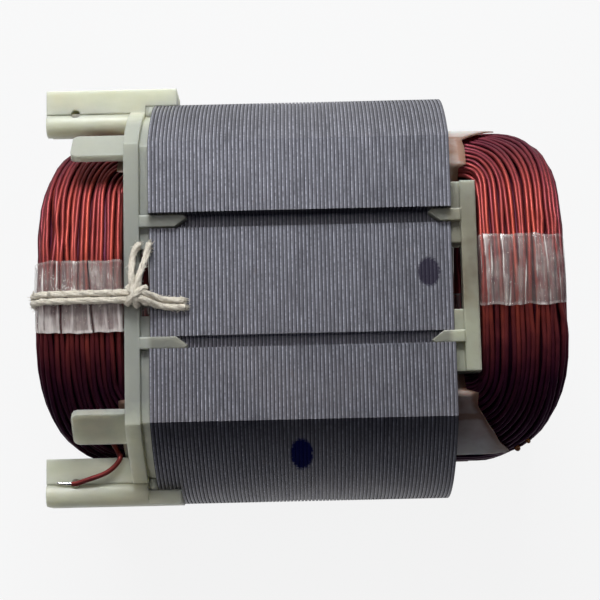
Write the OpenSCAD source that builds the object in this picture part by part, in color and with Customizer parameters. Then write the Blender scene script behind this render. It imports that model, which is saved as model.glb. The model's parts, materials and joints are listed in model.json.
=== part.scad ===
// Wound stator of a universal motor, lying on its side with the bore along X.
// The two poles face up and down. The terminal end is at -X.
// The origin is on the bore axis, midway along the laminations.

/* [Core] */
// Number of laminations in the stack
lam_count = 79; // [50:1:110]
// Thickness of one lamination with its coating
lam_pitch = 0.65; // [0.5:0.05:0.8]
// Width of the line between two laminations
lam_line_w = 0.18; // [0.1:0.01:0.3]
// Depth of the line between two laminations
lam_line_depth = 0.22; // [0.1:0.02:0.4]
// Outside diameter of the laminations
core_d = 73; // [70:0.5:80]
// Width across the two flats
flat_w = 55; // [54:0.5:60]
// Diameter of the bore that the armature turns in
bore_d = 41; // [39:0.5:42]
// Angle that each pole face covers, in degrees
pole_arc = 137; // [136:1:142]
// Half angle of the pole body between the slots, in degrees
pole_half = 40; // [37:1:43]
// Radial thickness of the pole tips
tip_t = 1.7; // [1.3:0.1:2]
// Radial depth of the winding slots
slot_depth = 8.6; // [7.8:0.1:9.2]
// Width of the recess in the back of each pole
recess_w = 18.6; // [16:0.2:20]
// Depth of that recess below the flat
recess_drop = 2; // [1:0.25:2.5]
// Width of the clip groove on each side of the recess
groove_w = 2.3; // [2:0.1:3]
// Depth of the clip grooves below the flat
groove_drop = 4; // [3.5:0.25:4.5]

/* [Coils] */
// Diameter of the enamelled wire
wire_d = 1.05; // [0.8:0.01:1.2]
// Wires side by side in an end turn
wires_across = 14; // [10:1:16]
// Gap between a coil side and its liner at the pole body
coil_side_gap = 0.33; // [0.1:0.05:1]
// Gap between the two coils in a slot
coil_gap = 1.6; // [0.6:0.1:4]
// Thickness of an end turn over its pole
end_turn_t = 4.05; // [3.4:0.05:4.4]
// Length of the corner of the outermost wires along X
corner_l = 18.3; // [14:0.1:20]
// Rounding of the outer edge of an end turn
coil_round = 2.6; // [1.5:0.1:3]
// Thickness of the slot liner sheet
liner_t = 0.25; // [0.2:0.05:0.3]
// How far a liner stands out of the plain end, at its tip
liner_out = 10.4; // [4:0.2:12]
// Angle of that tip from the pole axis
liner_half = 74; // [66:1:80]
// How far a liner stands out of the plain end, beside the pole
liner_pole = 3; // [2:0.2:4]
// How far a liner stands out of the terminal end frame
liner_back = 1.6; // [0:0.2:2]
// Width of the film tape round an end turn
tape_w = 12; // [8:0.5:16]
// Thickness of the film tape
tape_t = 0.2; // [0.1:0.05:0.25]
// Thickness of the lacing cord
cord_d = 1.2; // [0.8:0.1:1.3]

/* [End frames] */
// Thickness of the plate against the laminations
base_t = 1.7; // [1.5:0.1:2.2]
// Thickness of the rim behind the end turns
rim_t = 2.6; // [2:0.1:3.2]
// How far the plate stays inside the laminations
base_inset = 1.9; // [1.5:0.1:2.4]
// How far the rim stays inside the laminations
rim_inset = 1; // [0.6:0.1:1.2]
// Width of the caps on the plain end
cap_w = 32.6; // [28:0.2:34]
// Width of the lacing window behind the rim
window_w = 11.5; // [8:0.5:13]
// Length of the clips at the terminal end
clip_l = 6.4; // [4:0.2:9]
// Length of the clips at the plain end
cap_clip_l = 3.8; // [2.5:0.1:6]
// Length of the tabs over the coil corners
tab_l = 9.2; // [6:0.2:10]
// Width of those tabs
tab_w = 6.8; // [5:0.2:7.4]
// Thickness of those tabs
tab_t = 1.3; // [1:0.1:1.6]
// Gap between a tab and the edge of the window below it
tab_rise = 1.4; // [0.8:0.1:1.8]
// Length of the terminal posts beyond the rim
post_l = 15.2; // [14:0.1:16]
// Width of a terminal post
post_w = 8.2; // [7.6:0.2:9]
// Depth of a terminal post
post_h = 8.6; // [8.4:0.2:9.6]
// Distance of the outer face of the back post from the bore axis
post_out = 37.6; // [37:0.1:38]
// How much nearer to the bore axis the front post is
front_post_in = 0.7; // [0:0.1:1]
// Height of the upper face of a post above the bore axis
post_top = 12.3; // [11.5:0.1:13]
// Distance of the lead holes from the end of a post
hole_in = 5.2; // [4:0.2:6]
// Distance of the side hole from the end of the back post
side_hole_in = 11.2; // [10.6:0.2:11.8]
// Length of the tongue of a post over the laminations
tongue_l = 4; // [3:0.5:8]
// Width of a terminal tab
term_w = 6.3; // [4.8:0.1:6.4]
// Thickness of a terminal tab
term_t = 0.8; // [0.5:0.1:1]

/* [Hidden] */
$fn = 96;

// Clearances
fit_gap = 0.05;
slide_gap = 0.15;
over = 0.5;

// Core
core_l = lam_count * lam_pitch;
half_l = core_l / 2;
core_r = core_d / 2;
half_flat = flat_w / 2;
bore_r = bore_d / 2;
slot_in_r = bore_r + tip_t;
slot_out_r = slot_in_r + slot_depth;
groove_mid = recess_w / 2 + groove_w / 2;
groove_floor = half_flat - groove_drop;
recess_floor = half_flat - recess_drop;

// Frames
frame_face = half_l + base_t + rim_t;
rim_back = half_l + base_t;
frame_bore_r = bore_r + 0.4;
rim_bore_r = slot_in_r + 0.6;
lobe_half = pole_half - 1.5;
window_r = slot_out_r + 0.3;
plate_top = recess_floor - 0.4;
clip_w = groove_w - 2 * slide_gap;
clip_low = groove_floor + slide_gap;
clip_top = recess_floor + 0.8;
rim_top = recess_floor + 0.5;
// Middle of a corner tab, as an angle from the pole axis
tab_angle = 46.7;

// Coils: k runs from 0 at the inner edge of the winding to 1 at its outer edge
coil_in_r = slot_in_r + liner_t + 3 * fit_gap;
coil_out_r = coil_in_r + end_turn_t;
coil_side_r = slot_out_r - liner_t - 4 * fit_gap;
coil_in_x = frame_face + 0.4;
// Half angles of the inner and the outer edge of a coil side from the pole axis
coil_in_half = pole_half + asin((fit_gap + liner_t + coil_side_gap) / coil_in_r);
coil_out_half = 90 - asin(coil_gap / 2 / coil_in_r);
bundle_w = wires_across * wire_d;
coil_out_x = coil_in_x + bundle_w;
corner_in_x = 2.4;
corner_out_x = corner_l;
corner_in_half = 5;
corner_out_half = 64.6;
valley = 0.3 * wire_d;
layers = max(1, round((coil_out_r - coil_round - coil_in_r) / wire_d));
arch_steps = 6;
corner_steps = 6;
inner_steps = 7;

// Tape, as the middle of its width along Y
tape_mid_terminal = -2.3;
tape_mid_plain = 0.7;
tape_reach = fit_gap + tape_t;
// Half angle of an end turn that keeps one thickness, under the tape
crown_half = asin((tape_w / 2 + max(abs(tape_mid_terminal), abs(tape_mid_plain)) + over) / coil_out_r);

// Posts
post_x = -frame_face - post_l;
flat_part = 4.4;
bar_r = (post_w - flat_part) / 2 + 0.1;
bar_rise = 0.7;
hole_d = wire_d + 0.6;
hole_x = post_x + hole_in;
side_hole_x = post_x + side_hole_in;
pocket_h = term_w + 0.5;
pocket_w = term_t + 1.6;
pocket_l = 11;
post_mid_z = post_top - post_h / 2;
term_inset = 0.8;
seat_l = 1.8;
// Outer upper edges of the back and the front post
post_edges = [post_out, post_w - post_out + front_post_in];
// Middles of the pockets of the back and the front post
pocket_ys = [for (y = post_edges) y - flat_part];

function lerp(a, b, t) = a + (b - a) * t;
function mirrored(list) = [for (i = [len(list) - 1 : -1 : 0]) list[i]];

// A profile drawn in Y and Z, extruded along X
module along_x(x, length) {
    translate([x, 0, 0]) rotate([90, 0, 90]) linear_extrude(length) children();
}

// A profile drawn as radius and X, turned about the bore axis between two angles from the pole axis
module around_x(from, to) {
    rotate([90, 0, 90]) rotate_extrude(angle = to - from, start = 90 - to) children();
}

// A wedge about the upper pole axis
module wedge(half) {
    reach = 2 * core_d;
    polygon([[0, 0], [reach * sin(half), reach * cos(half)], [-reach * sin(half), reach * cos(half)]]);
}

// Turns a part of the upper pole to the lower pole
module to_lower() {
    rotate([180, 0, 0]) children();
}

// Outline of a lamination, taken in by an inset
module core_outline(inset) {
    difference() {
        intersection() {
            circle(core_r - inset);
            square([core_d, flat_w - 2 * inset], center = true);
        }
        for (side = [-1, 1]) {
            translate([0, side * (recess_floor - inset + core_r)])
                square([recess_w + 2 * groove_w + 2 * inset, core_d], center = true);
            for (end = [-1, 1])
                translate([end * groove_mid, side * (groove_floor - inset + core_r)])
                    square([groove_w + 2 * inset, core_d], center = true);
        }
    }
}

// The bore, the slots and the gaps between the pole tips
module bore_and_slots() {
    circle(bore_r);
    difference() {
        circle(slot_out_r);
        circle(slot_in_r);
        for (turn = [0, 180]) rotate(turn) wedge(pole_half);
    }
    intersection() {
        circle(slot_in_r + over / 10);
        for (turn = [90, 270]) rotate(turn) wedge(90 - pole_arc / 2);
    }
}

module lamination_stack() {
    color("slategray") difference() {
        along_x(-half_l, core_l) difference() {
            core_outline(0);
            bore_and_slots();
        }
        for (i = [1 : lam_count - 1])
            along_x(-half_l + i * lam_pitch - lam_line_w / 2, lam_line_w) difference() {
                circle(core_r + over);
                core_outline(lam_line_depth);
            }
    }
}

// Plate that covers the laminations, open at the bore and at the slots
module frame_plate(inset, top, inner_r) {
    intersection() {
        circle(core_r - inset);
        square([core_d, 2 * top], center = true);
        union() {
            difference() {
                circle(core_r);
                circle(window_r);
            }
            difference() {
                for (turn = [0, 180]) rotate(turn) wedge(lobe_half);
                circle(inner_r);
            }
        }
    }
}

// Clip that lies in a groove of the core, with its root at X = 0 and a tapered nose towards +X
module clip(length) {
    root = base_t;
    translate([0, groove_mid, clip_low]) linear_extrude(clip_top - clip_low)
        polygon([[-root, -clip_w / 2], [length - clip_w, -clip_w / 2], [length, clip_w / 4],
            [length - clip_w / 4, clip_w / 2], [-root, clip_w / 2]]);
}

// Tab over a coil corner, tangent to the winding
module corner_tab(angle) {
    corner = 1.2;
    rotate([-angle, 0, 0]) translate([-frame_face - tab_l, -tab_w / 2, window_r + tab_rise])
        linear_extrude(tab_t) {
            translate([corner, 0]) square([tab_l + rim_t / 2 - corner, tab_w]);
            translate([0, corner]) square([tab_l, tab_w - 2 * corner]);
            for (end = [corner, tab_w - corner]) translate([corner, end]) circle(corner);
        }
}

// Section of a terminal post in Y and Z, measured from its upper outer edge towards -Y
module post_section() {
    translate([-post_w, -post_h]) square([post_w, post_h - bar_r]);
    translate([-flat_part, -post_h]) square([flat_part, post_h]);
    translate([-post_w + bar_r, bar_rise - bar_r]) circle(bar_r);
    translate([-post_w, -bar_r]) square([2 * bar_r, bar_rise]);
}

// Pocket in the end of a post
module pocket(which, length, width, height) {
    translate([post_x - over, pocket_ys[which] - width / 2, post_mid_z - height / 2])
        cube([length + over, width, height]);
}

// Terminal post of the back (0) or the front (1), with lead holes above and below its pocket
module terminal_post(which) {
    difference() {
        along_x(post_x, post_l + rim_t) difference() {
            translate([post_edges[which], post_top]) post_section();
            circle(window_r);
        }
        pocket(which, pocket_l, pocket_w, pocket_h);
        pocket(which, pocket_l + seat_l, term_t + 2 * fit_gap, term_w + 2 * fit_gap);
        translate([hole_x, pocket_ys[which], post_mid_z - post_h])
            cylinder(h = 2 * post_h, d = hole_d);
        if (which == 0)
            translate([side_hole_x, pocket_ys[which], post_mid_z])
                rotate([90, 0, 0]) cylinder(h = post_w, d = hole_d);
    }
}

// Tongue of a post that lies on the outside of the laminations
module post_tongue(edge_y) {
    along_x(-rim_back, tongue_l + base_t) difference() {
        translate([edge_y - post_w, post_top - post_h]) square([post_w, post_h]);
        circle(core_r + fit_gap);
    }
}

module terminal_end_frame() {
    color("honeydew") difference() {
        union() {
            along_x(-rim_back, base_t) frame_plate(base_inset, plate_top, frame_bore_r);
            along_x(-frame_face, rim_t) frame_plate(rim_inset, rim_top, rim_bore_r);
            for (turn = [0, 180]) rotate([turn, 0, 0]) {
                for (side = [0, 1]) mirror([0, side, 0]) {
                    translate([-half_l, 0, 0]) clip(clip_l);
                    corner_tab(tab_angle);
                }
            }
            for (which = [0, 1]) {
                terminal_post(which);
                post_tongue(post_edges[which]);
            }
        }
        for (turn = [0, 180]) rotate([turn, 0, 0]) lacing_window(-rim_back);
    }
}

// Window through the plate on the upper pole, between the rim and the laminations
module lacing_window(x) {
    translate([x, -window_w / 2, 0]) cube([base_t, window_w, core_r]);
}

// Cap on the plain end of a pole, drawn on the upper pole
module pole_cap() {
    color("honeydew") difference() {
        union() {
            intersection() {
                union() {
                    along_x(half_l, base_t) frame_plate(base_inset, plate_top, frame_bore_r);
                    along_x(rim_back, rim_t) frame_plate(rim_inset, rim_top, rim_bore_r);
                }
                along_x(half_l, frame_face) intersection() {
                    wedge(lobe_half);
                    square([cap_w, core_d], center = true);
                }
            }
            for (side = [0, 1]) mirror([0, side, 0])
                translate([half_l, 0, 0]) mirror([1, 0, 0]) clip(cap_clip_l);
        }
        lacing_window(half_l);
    }
}

// Half length, half angle and corner of the loop that a wire takes at k
function loop_x(k) = lerp(coil_in_x, coil_out_x, k);
function loop_half(k) = lerp(coil_in_half, coil_out_half, k);
function corner_x(k) = lerp(corner_in_x, corner_out_x, k);
function corner_half(k) = lerp(corner_in_half, corner_out_half, k);

// Stations of a quarter loop: [0, share] along the arch of the end turn, then [1, angle] round its corner
quarter = concat([for (i = [0 : arch_steps - 1]) [0, i / arch_steps]],
    [for (i = [0 : corner_steps]) [1, 90 * i / corner_steps]]);
// The whole loop, as [sign of X, sign of the angle, station]
stations = concat([for (s = quarter) [1, 1, s]], [for (s = mirrored(quarter)) [-1, 1, s]],
    [for (i = [1 : len(quarter) - 1]) [-1, -1, quarter[i]]],
    [for (i = [len(quarter) - 1 : -1 : 1]) [1, -1, quarter[i]]]);

function quarter_x(k, s) = s[0] == 0 ? loop_x(k) : loop_x(k) - corner_x(k) * (1 - cos(s[1]));
function quarter_angle(k, s) = s[0] == 0 ? (loop_half(k) - corner_half(k)) * s[1]
    : loop_half(k) - corner_half(k) * (1 - sin(s[1]));
// Thickness of the winding at an angle, as a share of an end turn: it fills out towards the slots
function fill(angle) = 1 + (coil_side_r - coil_out_r) / end_turn_t
    * sin(90 * max(0, angle - crown_half) / (coil_out_half - crown_half));
function coil_point(st, p) =
    let (k = p[0], turn = quarter_angle(k, st[2]), angle = st[1] * turn,
        r = lerp(coil_in_r, p[1], fill(turn)))
    [st[0] * quarter_x(k, st[2]), r * sin(angle), r * cos(angle)];

// Drop of the outside of the winding at k, where its outer edge is rounded
function round_drop(k) =
    let (u = max(0, 1 - (1 - k) * bundle_w / coil_round)) coil_round * (1 - sqrt(1 - u * u));
// Section of the winding as [k, radius], ridged by the wires outside and at its outer end
outer_skin = [for (i = [0 : wires_across - 1], h = [0, 0.5])
    let (k = (i + h) / wires_across) [k, coil_out_r - round_drop(k) - (h == 0 ? valley : 0)]];
end_top = coil_out_r - coil_round;
end_skin = [for (i = [0 : layers - 1], h = [0, 0.5])
    [1 - (h == 0 ? valley / bundle_w : 0), lerp(end_top, coil_in_r, (i + h) / layers)]];
inner_skin = [for (i = [inner_steps : -1 : 0]) [(1 - valley / bundle_w) * i / inner_steps, coil_in_r]];
section = concat(outer_skin, end_skin, inner_skin);

// Faces of a tube of rings, closed on itself or capped at both ends
function tube_faces(rings, sides, closed) = concat(
    [for (i = [0 : rings - (closed ? 1 : 2)], j = [0 : sides - 1])
        let (a = i * sides, b = ((i + 1) % rings) * sides, n = (j + 1) % sides)
        each [[a + j, b + n, a + n], [a + j, b + j, b + n]]],
    closed ? [] : [[for (j = [0 : sides - 1]) j],
        [for (j = [sides - 1 : -1 : 0]) (rings - 1) * sides + j]]);

module coil() {
    color("firebrick") polyhedron(
        points = [for (st = stations, p = section) coil_point(st, p)],
        faces = tube_faces(len(stations), len(section), true));
}

// Liner of one coil side, drawn on the upper pole and towards +Y
module slot_liner() {
    wall_in = slot_out_r - fit_gap - liner_t;
    tip_out = slot_in_r + fit_gap + liner_t;
    neck_out = half_l + 2;
    color("tan") {
        difference() {
            along_x(-frame_face - liner_back, frame_face + liner_back + half_l + liner_out) intersection() {
                difference() {
                    circle(slot_out_r - fit_gap);
                    circle(wall_in);
                }
                liner_span(coil_out_half);
            }
            liner_slant();
        }
        along_x(-neck_out, 2 * neck_out) intersection() {
            difference() {
                circle(wall_in + liner_t / 2);
                circle(tip_out - liner_t / 2);
            }
            difference() {
                liner_span(coil_out_half);
                rotate(-pole_half) translate([fit_gap + liner_t, -core_r]) square([core_d, core_d]);
            }
        }
        along_x(-neck_out, 2 * neck_out) intersection() {
            difference() {
                circle(tip_out);
                circle(slot_in_r + fit_gap);
            }
            liner_span(pole_arc / 2);
        }
    }
}

// What is cut off the plain end of a liner, so that a tip stands out and slants back towards the pole
module liner_slant() {
    flush_x = half_l + 0.4;
    long_x = half_l + liner_out;
    short_x = half_l + liner_pole;
    tip_z = slot_out_r * cos(liner_half);
    pole_z = slot_out_r * cos(pole_half);
    translate([0, core_d, 0]) rotate([90, 0, 0]) linear_extrude(core_d)
        polygon([[flush_x, -over], [flush_x, tip_z], [long_x, tip_z], [short_x, pole_z], [short_x, core_r],
            [long_x + over, core_r], [long_x + over, -over]]);
}

// The part of a slot from the pole body to an angle from the pole axis
module liner_span(to) {
    intersection() {
        rotate(-pole_half) translate([fit_gap, -core_r]) square([core_d, core_d]);
        rotate(-to) translate([-core_d, 0]) square([core_d, core_d]);
    }
}

// Section of an end turn at +X as radius and X, let out by a distance
module bundle_section(grow) {
    low = [coil_in_r - grow, coil_in_x - grow];
    high = [coil_out_r + grow, coil_out_x + grow];
    turn = coil_round + grow;
    translate(low) square([high[0] - low[0] - turn, high[1] - low[1]]);
    translate(low) square([high[0] - low[0], high[1] - low[1] - turn]);
    intersection() {
        translate(high - [turn, turn]) circle(turn);
        translate(low) square(high - low);
    }
}

// Film tape round the end turn at +X, drawn on the upper pole, with its middle at a place along Y
module coil_tape(middle) {
    color("lavenderblush")
        around_x(asin((middle - tape_w / 2) / coil_out_r), asin((middle + tape_w / 2) / coil_out_r))
            difference() {
                bundle_section(fit_gap + tape_t);
                bundle_section(fit_gap);
            }
}

// Terminal tab that stands in the pocket of the back (0) or the front (1) post
module terminal(which) {
    color("gold") translate([post_x + term_inset, pocket_ys[which] - term_t / 2, post_mid_z - term_w / 2])
        cube([pocket_l + seat_l - term_inset, term_t, term_w]);
}

// Tube of a round cord along a list of points
function unit(v) = v / norm(v);
function tangent(path, i) = unit(path[min(i + 1, len(path) - 1)] - path[max(i - 1, 0)]);
function side_of(t) = unit(cross(t, abs(t[1]) < 0.8 ? [0, 1, 0] : [1, 0, 0]));

// Points of a smooth curve through hand chosen points
function curve_point(p, i, t) =
    let (n = len(p) - 1, a = p[max(i - 1, 0)], b = p[i], c = p[min(i + 1, n)], d = p[min(i + 2, n)])
    0.5 * (2 * b + (c - a) * t + (2 * a - 5 * b + 4 * c - d) * t * t + (3 * b - a - 3 * c + d) * t * t * t);
function curve(p, steps) = concat(
    [for (i = [0 : len(p) - 2], s = [0 : steps - 1]) curve_point(p, i, s / steps)], [p[len(p) - 1]]);

// Frames carried along a path without twist
function carried(path, i = 0, side = undef, out = []) =
    i == len(path) ? out :
    let (t = tangent(path, i), s = i == 0 ? side_of(t) : unit(side - (side * t) * t))
    carried(path, i + 1, s, concat(out, [[s, cross(t, s)]]));

module cord_tube(path, d) {
    sides = 8;
    frames = carried(path);
    polyhedron(
        points = [for (i = [0 : len(path) - 1], j = [0 : sides - 1])
            path[i] + d / 2 * (frames[i][0] * cos(360 * j / sides) + frames[i][1] * sin(360 * j / sides))],
        faces = tube_faces(len(path), sides, false));
}

// Lacing: two turns round the terminal end turn of the upper coil, then a knot and two short ends
cord_r = cord_d / 2;
lace_in_x = -half_l - base_t / 2;
lace_gap = tape_reach + 2 * fit_gap + cord_r;
lace_out_x = -coil_out_x - lace_gap;
lace_step = 1.3;
lace_y = -3.6;
lace_low = sqrt(pow(coil_in_r - tape_reach, 2) - pow(cord_r - lace_y, 2)) - fit_gap - cord_r;
lace_top = coil_out_r + lace_gap;
lace_bend = 1.6;
lace_tight = cord_r + 0.2;
lace_round = coil_round + lace_gap;
knot_x = lace_in_x - 0.5;
knot_z = lace_top + cord_d + fit_gap;
knot_r = cord_d + fit_gap;

// Corners of a turn, each as its middle, its radius and its first angle; each is a quarter turn
lace_corners = [[lace_in_x - lace_bend, lace_low + lace_bend, lace_bend, 0],
    [lace_out_x + lace_tight, lace_low + lace_tight, lace_tight, -90],
    [lace_out_x + lace_round, lace_top - lace_round, lace_round, -180],
    [lace_in_x - lace_bend, lace_top - lace_bend, lace_bend, -270]];
// All corners but the last, where the cord goes on into the knot
lace_turns = [for (turn = [0, 1], c = [0 : 3 - turn], i = [0 : 4])
    let (m = lace_corners[c], a = m[3] - 22.5 * i)
    [m[0] + m[2] * cos(a), lace_y + lace_step * (turn + c / 4), m[1] + m[2] * sin(a)]];
lace_start = curve([[knot_x + 0.4, 6.6, recess_floor + cord_r], [knot_x - 0.3, 4.6, recess_floor + 1.6],
    [knot_x - 0.1, 2.4, knot_z - 0.6], [knot_x, 0.6, knot_z], [knot_x, lace_y + 2.2, knot_z],
    [knot_x, lace_y + 0.9, knot_z - 0.05], [lace_in_x - 0.05, lace_y + 0.1, lace_top - 0.4]], 3);
knot_turn = [for (a = [165 : -30 : -285])
    [knot_x + knot_r * cos(a), lace_y + 2.2 + 1.35 * (165 - a) / 360, knot_z + knot_r * sin(a)]];
lace_end = curve([[knot_x + 1.5, lace_y + 3.7, knot_z + 0.3], [knot_x + 3, -1, lace_top],
    [knot_x + 4.8, -2.6, recess_floor + cord_r + 0.4],
    [knot_x + 7.6, -3.6, recess_floor + cord_r + fit_gap]], 4);

module lacing_cord() {
    color("ivory") cord_tube(concat(lace_start, lace_turns, knot_turn, lace_end), cord_d);
}

// Leads: [back, front] ends of each coil, from beside the winding to the edge of a terminal tab
lead_r = coil_side_r - 1.2;
lead_gap = fit_gap;
tab_top = post_mid_z + term_w / 2 + lead_gap;
tab_low = post_mid_z - term_w / 2 - lead_gap;
over_post = post_top + wire_d / 2 + fit_gap;
under_post = post_top - post_h - wire_d / 2 - fit_gap;

// From the upper coil over the front post and down its upper hole
front_angle = 66;
front_r = coil_in_r + end_turn_t * fill(front_angle) + wire_d / 2 + fit_gap;
upper_front_route = curve([
    [-frame_face - 2.6, -front_r * sin(front_angle), front_r * cos(front_angle)],
    [-frame_face - 2.2, post_edges[1] - 0.2, over_post + 0.8],
    [-frame_face - 3.2, post_edges[1] - 1.6, over_post + 0.6],
    [-frame_face - 5, pocket_ys[1] + 1.6, over_post + 0.5],
    [hole_x + 2, pocket_ys[1] + 0.6, over_post + 0.4],
    [hole_x + 0.3, pocket_ys[1] + 0.1, over_post + 0.2],
    [hole_x, pocket_ys[1], post_top - 0.3], [hole_x, pocket_ys[1], tab_top]], 4);
// From the upper coil straight through the side hole of the back post
back_r = coil_in_r + end_turn_t * fill(acos(post_mid_z / coil_side_r)) + wire_d / 4 + fit_gap;
upper_back_route = [[side_hole_x, sqrt(back_r * back_r - post_mid_z * post_mid_z), post_mid_z],
    [side_hole_x, pocket_ys[0] - term_t / 2 - lead_gap, post_mid_z]];
// From the lower coil under a post and up its lower hole
function lower_route(which) = let (side = which == 0 ? 1 : -1)
    curve([[-frame_face - 3.6, side * lead_r * cos(9), -lead_r * sin(9)],
        [-frame_face - 4.6, side * (lead_r + 2), -2.6],
        [hole_x + 1.6, pocket_ys[which] - side, under_post - 0.9],
        [hole_x + 0.2, pocket_ys[which] - side * 0.1, under_post - 0.1],
        [hole_x, pocket_ys[which], under_post + 0.9], [hole_x, pocket_ys[which], tab_low]], 4);

module lead(route) {
    color("sienna") cord_tube(route, wire_d);
}

lamination_stack();
terminal_end_frame();
pole_cap();  // upper_pole_cap
to_lower() pole_cap();  // lower_pole_cap
coil();  // upper_coil
to_lower() coil();  // lower_coil
slot_liner();  // slot_liner_upper_back
mirror([0, 1, 0]) slot_liner();  // slot_liner_upper_front
mirror([0, 0, 1]) slot_liner();  // slot_liner_lower_back
to_lower() slot_liner();  // slot_liner_lower_front
mirror([1, 0, 0]) coil_tape(tape_mid_terminal);  // coil_tape_upper_terminal
coil_tape(tape_mid_plain);  // coil_tape_upper_plain
to_lower() mirror([1, 0, 0]) coil_tape(tape_mid_terminal);  // coil_tape_lower_terminal
to_lower() coil_tape(tape_mid_plain);  // coil_tape_lower_plain
terminal(1);  // front_terminal
terminal(0);  // back_terminal
lacing_cord();
lead(upper_front_route);  // upper_lead_front
lead(upper_back_route);  // upper_lead_back
lead(lower_route(1));  // lower_lead_front
lead(lower_route(0));  // lower_lead_back
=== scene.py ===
# Looks of the wound stator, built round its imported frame.
# Lengths are in millimetres, as in the part's source, and turn into metres when a mesh is made.
import json
import math
import random

import bpy
import numpy as np
from mathutils import Matrix, Vector, noise
from mathutils.bvhtree import BVHTree

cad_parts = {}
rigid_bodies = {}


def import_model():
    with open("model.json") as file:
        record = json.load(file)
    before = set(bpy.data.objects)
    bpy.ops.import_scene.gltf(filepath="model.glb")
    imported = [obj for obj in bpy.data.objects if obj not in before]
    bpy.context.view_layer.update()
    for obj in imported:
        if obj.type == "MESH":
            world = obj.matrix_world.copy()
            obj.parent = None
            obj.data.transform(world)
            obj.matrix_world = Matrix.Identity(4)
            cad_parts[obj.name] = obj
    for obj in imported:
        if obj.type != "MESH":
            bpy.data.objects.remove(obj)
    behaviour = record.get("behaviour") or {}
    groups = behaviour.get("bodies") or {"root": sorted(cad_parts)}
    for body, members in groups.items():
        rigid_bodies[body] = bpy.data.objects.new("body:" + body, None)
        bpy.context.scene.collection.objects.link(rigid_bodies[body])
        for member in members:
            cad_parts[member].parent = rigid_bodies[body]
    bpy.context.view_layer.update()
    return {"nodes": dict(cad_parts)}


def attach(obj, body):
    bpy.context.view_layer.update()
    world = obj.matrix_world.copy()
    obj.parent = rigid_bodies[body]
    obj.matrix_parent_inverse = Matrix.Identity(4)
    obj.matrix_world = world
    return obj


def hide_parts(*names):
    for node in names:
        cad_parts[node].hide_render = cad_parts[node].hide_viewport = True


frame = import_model()
nodes = frame["nodes"]
scene = bpy.context.scene
MM = 0.001

# Sizes repeated from the part's source. Angles are in degrees from the middle of a pole.
HALF_L, LAM_PITCH = 25.675, 0.65
SLOT_IN_R, SLOT_OUT_R, POLE_HALF, POLE_ARC = 22.2, 30.8, 40.0, 137.0
FRAME_FACE = 29.975
LINER_HALF = 74.0
WIRE_D, BUNDLE_W, END_TURN_T, COIL_ROUND = 1.05, 14.7, 4.05, 2.6
COIL_IN_R, COIL_OUT_R, COIL_SIDE_R, COIL_IN_X = 22.6, 26.65, 30.35, 30.375
COIL_IN_HALF, COIL_OUT_HALF, CROWN_HALF = 41.6, 87.97, 19.29
CORNER_IN_X, CORNER_OUT_X, CORNER_IN_HALF, CORNER_OUT_HALF = 2.4, 18.3, 5.0, 64.6
TAPE_W, TAPE_MID_TERMINAL, TAPE_MID_PLAIN = 12.0, -2.3, 0.7
CORD_D = 1.2
POST_TOP, POST_H, POST_EDGE, POST_MID_Z = 12.3, 8.6, -28.7, 8.0
HOLE_X, SIDE_HOLE_X, POCKET_YS = -39.975, -33.975, (33.2, -33.1)
TERM_W, TERM_T, FIT_GAP = 6.3, 0.8, 0.05
FLOOR_Z = -27.5

# Sizes of what only the scene shows. Windings: wires, the layer under the outer one, and the dark body
SHOWN_WIRE, WIRE_SWAY, WIRE_SINK = 0.85, 0.45, 0.5
SECOND_LAYER, SECOND_SHARE, WINDING_CORE = 0.55, 0.56, 1.25
ARCH_SHARE, LEG_SPREAD, CORNER_BULGE = 0.25, 0.75, 0.55
# How round each corner of the loop is laid, by end and side: less than 1 is fuller than an ellipse
FULLNESS = {(1, 1): 0.865, (1, -1): 0.89, (-1, 1): 0.95, (-1, -1): 0.88}
# Drops of varnish on the front corner of the plain end turn, as middle and size
VARNISH_DROPS = (((37.4, -28.4, 9.4), 0.6), ((39.1, -27.35, 11.5), 0.45))
# Section of a post's root, as x and distance from the axis, and its room above and below
ROOT_SECTION = ((-27.3, 34.3), (-25.9, 34.3), (-25.72, 34.5), (-25.72, 36.6), (-25.9, 36.8), (-27.3, 36.8),
                (-27.3, 34.3))
ROOT_ROOM = 0.1
# Film, cord, liners, leads and floor. The crease is a share of the way round, and the floor is in metres.
FOLD_H, PUCKER_H, CREASE_W, TAPE_RAGGED, PLAIN_LEAN = 0.3, 0.08, 0.009, 0.35, 0.3
PLY_OFF, PLY_R, PLY_LAY = 0.22, 0.38, 11.0
LINER_OFF, LINER_TURN, LINER_SHOWN = 0.175, 0.4, 0.2
LEAD_R, LEAD_STEP, BARE_END = 0.44, 0.2, 2.9
FLOOR_REACH = 6.0


# Camera, fitted to the core in the photograph
def turn(axis, degrees):
    return np.array(Matrix.Rotation(math.radians(degrees), 3, axis))


to_camera = turn("Z", 1.329) @ turn("Y", -0.084) @ turn("X", -8.887)
eye = to_camera.T @ np.array([-0.307, 0.332, 313.26])
camera_data = bpy.data.cameras.new("camera")
camera_data.sensor_width = 36.0
camera_data.lens = 102.0
camera_data.clip_start = 0.01
camera = bpy.data.objects.new("camera", camera_data)
camera_place = Matrix(to_camera.T.tolist()).to_4x4()
camera_place.translation = Vector(eye * MM)
camera.matrix_world = camera_place
scene.collection.objects.link(camera)
scene.camera = camera
scene.view_settings.view_transform = "Standard"


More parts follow.
